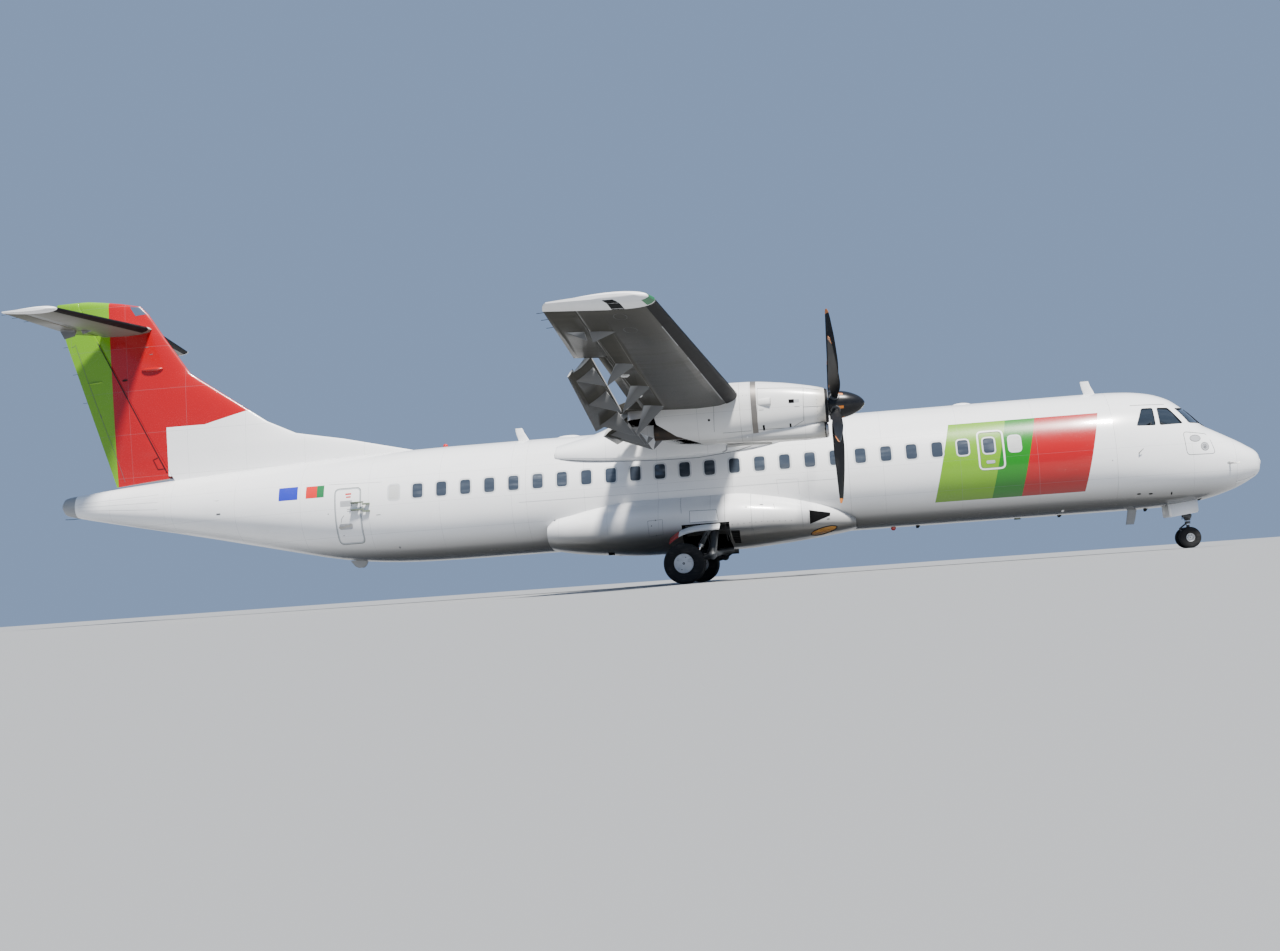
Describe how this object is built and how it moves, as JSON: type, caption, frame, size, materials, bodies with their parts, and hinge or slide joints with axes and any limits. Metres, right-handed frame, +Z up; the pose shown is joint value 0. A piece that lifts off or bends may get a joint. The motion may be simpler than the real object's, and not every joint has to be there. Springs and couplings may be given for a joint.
{
  "type": "twin turboprop airliner",
  "caption": "High-wing twin turboprop airliner with a T-tail, six-bladed propellers, lowered flaps, airstair, cargo and service doors, standing on twin-wheel landing gear.",
  "frame": {"origin": "on the floor under the middle of the aircraft's length and span", "axes": "+X towards the nose, +Y to port, +Z up"},
  "size_m": [27.17, 27.05, 7.65],
  "materials": {
    "body_white": "gloss white paint",
    "panel_white": "gloss white paint on composite",
    "cowling_white": "gloss white paint on composite",
    "wing_metal": "satin grey paint",
    "wing_composite": "satin grey paint on composite",
    "fin_red": "gloss red paint",
    "rudder_green": "gloss green paint",
    "blade_black": "matt black",
    "dark_glass": "dark tinted",
    "tyre_rubber": "matt rubber",
    "wheel_alloy": "painted light grey",
    "leg_steel": "painted steel",
    "engine_metal": "bare",
    "burnt_metal": "heat-stained"
  },
  "bodies": {
    "airframe": {"belly_fairing": "panel_white", "centre_fuselage": "body_white", "cockpit_rear_window_left": "dark_glass", "cockpit_rear_window_right": "dark_glass", "cockpit_side_window_left": "dark_glass", "cockpit_side_window_right": "dark_glass", "engine_cowling_left": "cowling_white", "engine_cowling_right": "cowling_white", "engine_left": "engine_metal", "engine_right": "engine_metal", "exhaust_pipe_left": "burnt_metal", "exhaust_pipe_right": "burnt_metal", "fin": "fin_red", "forward_fuselage": "body_white", "main_leg_door_left": "panel_white", "main_leg_door_right": "panel_white", "main_leg_left": "leg_steel", "main_leg_right": "leg_steel", "nacelle_left": "cowling_white", "nacelle_right": "cowling_white", "nose_fuselage": "body_white", "nose_gear_door_left": "panel_white", "nose_gear_door_right": "panel_white", "nose_leg": "leg_steel", "radome": "panel_white", "rear_fuselage": "body_white", "stabiliser": "wing_composite", "tail_cone": "panel_white", "windscreen_left": "dark_glass", "windscreen_right": "dark_glass", "wing_centre": "wing_metal", "wing_fairing": "panel_white", "wing_left": "wing_composite", "wing_right": "wing_composite"},
    "left_propeller": {"propeller_left": "blade_black", "spinner_left": "blade_black"},
    "right_propeller": {"propeller_right": "blade_black", "spinner_right": "blade_black"},
    "left_main_wheels": {"main_left_hubs": "wheel_alloy", "main_left_tyre_port": "tyre_rubber", "main_left_tyre_starboard": "tyre_rubber"},
    "right_main_wheels": {"main_right_hubs": "wheel_alloy", "main_right_tyre_port": "tyre_rubber", "main_right_tyre_starboard": "tyre_rubber"},
    "nose_steering_fork": {"nose_fork": "leg_steel"},
    "nose_wheels": {"nose_hubs": "wheel_alloy", "nose_tyre_port": "tyre_rubber", "nose_tyre_starboard": "tyre_rubber"},
    "rudder_body": {"rudder": "rudder_green"},
    "left_elevator": {"elevator_left": "wing_composite"},
    "right_elevator": {"elevator_right": "wing_composite"},
    "left_aileron": {"aileron_left": "wing_composite"},
    "right_aileron": {"aileron_right": "wing_composite"},
    "left_inboard_flap": {"flap_inboard_left": "wing_composite"},
    "right_inboard_flap": {"flap_inboard_right": "wing_composite"},
    "left_outboard_flap": {"flap_outboard_left": "wing_composite"},
    "right_outboard_flap": {"flap_outboard_right": "wing_composite"},
    "passenger_door_body": {"passenger_door": "body_white"},
    "cargo_door_body": {"cargo_door": "body_white"},
    "service_door_body": {"service_door": "body_white"}
  },
  "joints": [
    {"name": "left_propeller_spin", "type": "hinge", "parent": "airframe", "child": "left_propeller", "pos_m": [4.585, 4.05, 3.33], "axis": [1, 0, 0], "continuous": true},
    {"name": "right_propeller_spin", "type": "hinge", "parent": "airframe", "child": "right_propeller", "pos_m": [4.585, -4.05, 3.33], "axis": [1, 0, 0], "continuous": true},
    {"name": "left_main_wheels_spin", "type": "hinge", "parent": "airframe", "child": "left_main_wheels", "pos_m": [1.195, 2.05, 0.43], "axis": [0, 1, 0], "continuous": true},
    {"name": "right_main_wheels_spin", "type": "hinge", "parent": "airframe", "child": "right_main_wheels", "pos_m": [1.195, -2.05, 0.43], "axis": [0, 1, 0], "continuous": true},
    {"name": "nose_steering", "type": "hinge", "parent": "airframe", "child": "nose_steering_fork", "pos_m": [11.985, 0, 0.6], "axis": [0, 0, 1], "range_deg": [-60, 60]},
    {"name": "nose_wheels_spin", "type": "hinge", "parent": "nose_steering_fork", "child": "nose_wheels", "pos_m": [11.965, 0, 0.228], "axis": [0, 1, 0], "continuous": true},
    {"name": "rudder_swing", "type": "hinge", "parent": "airframe", "child": "rudder_body", "pos_m": [-10.935, 0, 3.33], "axis": [-0.4412, 0, 0.8974], "range_deg": [-27, 27]},
    {"name": "elevator_left_swing", "type": "hinge", "parent": "airframe", "child": "left_elevator", "pos_m": [-12.432, 0.27, 6.845], "axis": [0.0599, -0.9982, 0], "range_deg": [-23, 13]},
    {"name": "elevator_right_swing", "type": "hinge", "parent": "airframe", "child": "right_elevator", "pos_m": [-12.432, -0.27, 6.845], "axis": [-0.0599, -0.9982, 0], "range_deg": [-23, 13]},
    {"name": "aileron_left_swing", "type": "hinge", "parent": "airframe", "child": "left_aileron", "pos_m": [0.8312, 9.9, 3.9298], "axis": [-0.009, -0.9984, -0.0561], "range_deg": [-14, 14]},
    {"name": "aileron_right_swing", "type": "hinge", "parent": "airframe", "child": "right_aileron", "pos_m": [0.8312, -9.9, 3.9298], "axis": [0.009, -0.9984, 0.0561], "range_deg": [-14, 14]},
    {"name": "flap_inboard_left_swing", "type": "hinge", "parent": "airframe", "child": "left_inboard_flap", "pos_m": [0.6676, 1.45, 2.9195], "axis": [0, -1, 0], "range_deg": [-35, 0]},
    {"name": "flap_inboard_right_swing", "type": "hinge", "parent": "airframe", "child": "right_inboard_flap", "pos_m": [0.6676, -1.45, 2.9195], "axis": [0, -1, 0], "range_deg": [-35, 0]},
    {"name": "flap_outboard_left_swing", "type": "hinge", "parent": "airframe", "child": "left_outboard_flap", "pos_m": [0.6679, 4.625, 2.9225], "axis": [-0.0138, -0.9932, -0.1152], "range_deg": [-35, 0]},
    {"name": "flap_outboard_right_swing", "type": "hinge", "parent": "airframe", "child": "right_outboard_flap", "pos_m": [0.6679, -4.625, 2.9225], "axis": [0.0138, -0.9932, 0.1152], "range_deg": [-35, 0]},
    {"name": "passenger_door_swing", "type": "hinge", "parent": "airframe", "child": "passenger_door_body", "pos_m": [-6.205, 1.15, 1.418], "axis": [-1, 0, 0], "range_deg": [0, 135]},
    {"name": "cargo_door_swing", "type": "hinge", "parent": "airframe", "child": "cargo_door_body", "pos_m": [9.548, 1.12, 3.014], "axis": [1, 0, 0], "range_deg": [0, 100]},
    {"name": "service_door_swing", "type": "hinge", "parent": "airframe", "child": "service_door_body", "pos_m": [-5.93, -1.43, 2.2], "axis": [0, 0, 1], "range_deg": [0, 150]}
  ],
  "couplings": [
    {"joint": "elevator_right_swing", "follows": "elevator_left_swing", "ratio": 1},
    {"joint": "aileron_right_swing", "follows": "aileron_left_swing", "ratio": -1},
    {"joint": "flap_inboard_right_swing", "follows": "flap_inboard_left_swing", "ratio": 1},
    {"joint": "flap_outboard_left_swing", "follows": "flap_inboard_left_swing", "ratio": 1},
    {"joint": "flap_outboard_right_swing", "follows": "flap_inboard_left_swing", "ratio": 1}
  ]
}
